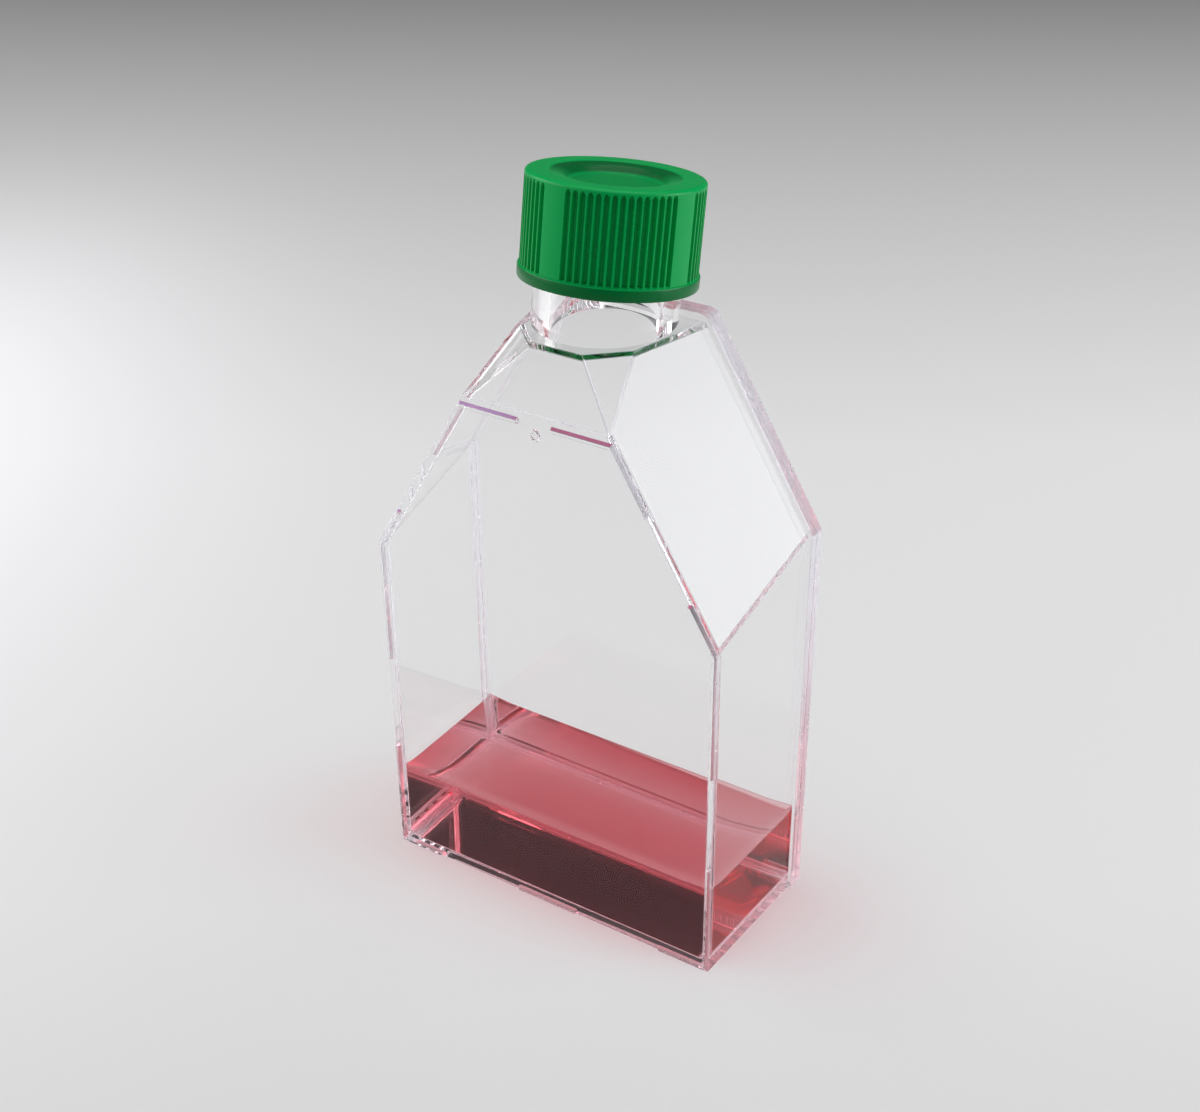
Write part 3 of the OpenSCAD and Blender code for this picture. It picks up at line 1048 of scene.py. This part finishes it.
def medium_shape(form, medium, level):
    """The liquid: the inside of the tray, below a surface that climbs the walls."""
    wall = form.size.wall

    def height(x, y):
        to_side = form.side_x(y, wall) - abs(x)
        to_face = min(y - form.face_y - wall, form.plate_y - y)
        near = [math.exp(-max(distance, 0) / medium.reach) for distance in (to_side, to_face)]
        return level + medium.rise * (near[0] ** 3 + near[1] ** 3) ** (1 / 3)

    outlines = [
        wetted_outline(form, inset, 0.2 + 0.06 * max(inset, 0.0), 14) for inset in MENISCUS_ROWS
    ]
    rows = [[(x, y, -1.0) for x, y in outlines[0]]]
    rows += [[(x, y, height(x, y)) for x, y in outline] for outline in outlines]
    below = rings(rows, Matrix.Identity(4))
    back_y = form.plate_y + medium.wetting
    before_plate = upright(square(-1, ROOM), form.front_y - 1, back_y)
    liquid_shape = combined(form.cavity(medium.wetting), [below, before_plate], "INTERSECT")
    for face in liquid_shape.faces:
        face.material_index = WALL
    return liquid_shape


# Operators, one for each piece and one for the studio


def settings(context, key):
    """The values of one of the scene's property groups, in millimetres."""
    return millimetres(getattr(context.scene, "flask_" + key))


def tray_form(context):
    """The tray's planes and corners, from the scene's sizes."""
    return TrayForm(settings(context, "tray"), settings(context, "ridges").height)


class FLASK_OT_build_tray(bpy.types.Operator):
    """Build the clear tray with its neck, thread, flange and stacking ridges"""

    bl_idname = "flask.build_tray"
    bl_label = "Build Tray"

    def execute(self, context):
        ridge, neck = settings(context, "ridges"), settings(context, "neck")
        materials = polystyrene(context.scene.flask_colours)
        shape = tray_shape(tray_form(context), ridge, neck)
        piece = new_piece("tray", shape, "flask", materials)
        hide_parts("flask_body")
        return {"FINISHED"}


class FLASK_OT_build_plate(bpy.types.Operator):
    """Build the clear cover plate that closes the tray"""

    bl_idname = "flask.build_plate"
    bl_label = "Build Cover Plate"

    def execute(self, context):
        materials = polystyrene(context.scene.flask_colours)
        shape = plate_shape(tray_form(context), settings(context, "neck"))
        piece = new_piece("cover", shape, "flask", materials)
        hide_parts("cover_plate")
        return {"FINISHED"}


class FLASK_OT_build_cap(bpy.types.Operator):
    """Build the green screw cap with its grip grooves, plug seal and inner thread"""

    bl_idname = "flask.build_cap"
    bl_label = "Build Cap"

    def execute(self, context):
        cap, neck = settings(context, "cap"), settings(context, "neck")
        lift = neck.height + cap.seat_gap - (cap.height - cap.crown)
        seat = neck_place(neck, tray_form(context).top_z)
        place = seat @ Matrix.Translation((0, 0, lift))
        axis = MM * place.translation, place.col[2].to_3d()
        colour = tuple(context.scene.flask_colours.cap)
        material = green_polyethylene(colour, axis, cap)
        shape = combined(cap_shape(cap, place), [cap_thread(cap, neck, seat)], "UNION")
        piece = new_piece("screw_cap_shell", shape, "screw_cap", [material], 40.0)
        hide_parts("cap")
        return {"FINISHED"}


class FLASK_OT_build_medium(bpy.types.Operator):
    """Build the liquid medium with its meniscus"""

    bl_idname = "flask.build_medium"
    bl_label = "Build Medium"

    def execute(self, context):
        colours = context.scene.flask_colours
        _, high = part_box("culture_medium")
        material = liquid(tuple(colours.medium), tuple(colours.depth), colours.depth_density)
        shape = medium_shape(tray_form(context), settings(context, "medium"), high.z / MM)
        piece = new_piece("medium_liquid", shape, "flask", [material], 60.0)
        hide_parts("culture_medium")
        return {"FINISHED"}


def polystyrene(colours):
    """Clear plastic: its walls, its hazy edges and its ridges' tops, both with painted light."""
    left = tuple(colours.ridge_left)
    # the colour, the roughness, how wavy it is and how clear
    finishes_and_painted_light = {
        "polystyrene_wall": (tuple(colours.plastic), 0.004, 0.003, 1.0),
        "polystyrene_edge": (tuple(colours.edge), 0.40, 0.004, 0.75),
        "polystyrene_ridge": (tuple(colours.ridge), 0.05, 0.02, 0.25, left),
    }
    return [
        bpy.data.materials.get(name) or clear_plastic(name, *values)
        for name, values in finishes_and_painted_light.items()
    ]


class FLASK_OT_build_studio(bpy.types.Operator):
    """Build the pale floor, the soft lights and the camera"""

    bl_idname = "flask.build_studio"
    bl_label = "Build Studio"

    def execute(self, context):
        scene = context.scene
        scene.view_settings.view_transform = "Standard"
        # light that is caught in the clear walls turns many corners before it leaves them
        scene.cycles.max_bounces = 64
        scene.cycles.transmission_bounces = 64
        scene.cycles.glossy_bounces = 64
        scene.cycles.transparent_max_bounces = 24
        build_floor(studio_floor(scene.flask_colours))
        world = bpy.data.worlds.new("studio_world")
        scene.world = world
        studio_world(world)
        soft_light("window_left", (-0.76, -0.25, 0.44), (0.9, 0.55), 4.8)
        soft_light("softbox_right", (0.54, 0.31, 0.25), (0.40, 0.36), 2.5, (0.94, 0.96, 1.0))
        soft_light("softbox_above", (0.0, 0.15, 0.9), (0.9, 0.9), 2.8)
        build_camera(scene)
        return {"FINISHED"}


def build_floor(material):
    """The studio's round floor, a hair below the flask's base."""
    shape = bmesh.new()
    bmesh.ops.create_circle(shape, cap_ends=True, radius=2.5, segments=96)
    mesh = bpy.data.meshes.new("floor")
    shape.to_mesh(mesh)
    shape.free()
    mesh.materials.append(material)
    floor = bpy.data.objects.new("floor", mesh)
    bpy.context.scene.collection.objects.link(floor)
    floor.location.z = -0.00005


def soft_light(name, place, size, power, colour=(1.0, 1.0, 1.0)):
    """A soft rectangular lamp that faces the flask."""
    lamp = bpy.data.lights.new(name, "AREA")
    lamp.shape = "RECTANGLE"
    lamp.size, lamp.size_y = size
    lamp.energy = power
    lamp.color = colour
    made = bpy.data.objects.new(name, lamp)
    made.location = place
    middle = Vector((0.0, 0.0, 0.04))
    towards = middle - Vector(place)
    made.rotation_euler = towards.to_track_quat("-Z", "Y").to_euler()
    bpy.context.scene.collection.objects.link(made)


def build_camera(scene):
    """The camera, high to the right of the growth side."""
    data = bpy.data.cameras.new("camera")
    data.sensor_width = 36.0
    data.lens = 54.1
    data.shift_x = 0.0018
    data.shift_y = 0.0542
    data.clip_start = 0.01
    camera = bpy.data.objects.new("camera", data)
    camera.location = (0.10338, -0.15235, 0.15066)
    camera.rotation_euler = tuple(math.radians(a) for a in (58.176, 0.472, 33.628))
    scene.collection.objects.link(camera)
    scene.camera = camera


class FLASK_PT_sidebar(bpy.types.Panel):
    """Lists the flask's sizes, colours and build steps"""

    bl_idname = "FLASK_PT_sidebar"
    bl_label = "Cell Culture Flask"
    bl_space_type = "VIEW_3D"
    bl_region_type = "UI"
    bl_category = "Flask"

    def draw(self, context):
        for operator in OPERATORS:
            self.layout.operator(operator.bl_idname)
        for key, group in GROUPS.items():
            box = self.layout.box()
            for name in group.__annotations__:
                box.prop(getattr(context.scene, key), name)


OPERATORS = (
    FLASK_OT_build_studio,
    FLASK_OT_build_tray,
    FLASK_OT_build_plate,
    FLASK_OT_build_cap,
    FLASK_OT_build_medium,
)


CLASSES = (*GROUPS.values(), *OPERATORS, FLASK_PT_sidebar)


def register():
    for kind in CLASSES:
        bpy.utils.register_class(kind)
    for key, group in GROUPS.items():
        setattr(bpy.types.Scene, key, bpy.props.PointerProperty(type=group))


def unregister():
    for key in GROUPS:
        delattr(bpy.types.Scene, key)
    for kind in reversed(CLASSES):
        bpy.utils.unregister_class(kind)


def main():
    register()
    bpy.ops.flask.build_studio()
    bpy.ops.flask.build_tray()
    bpy.ops.flask.build_plate()
    bpy.ops.flask.build_cap()
    bpy.ops.flask.build_medium()


if __name__ == "__main__":
    main()
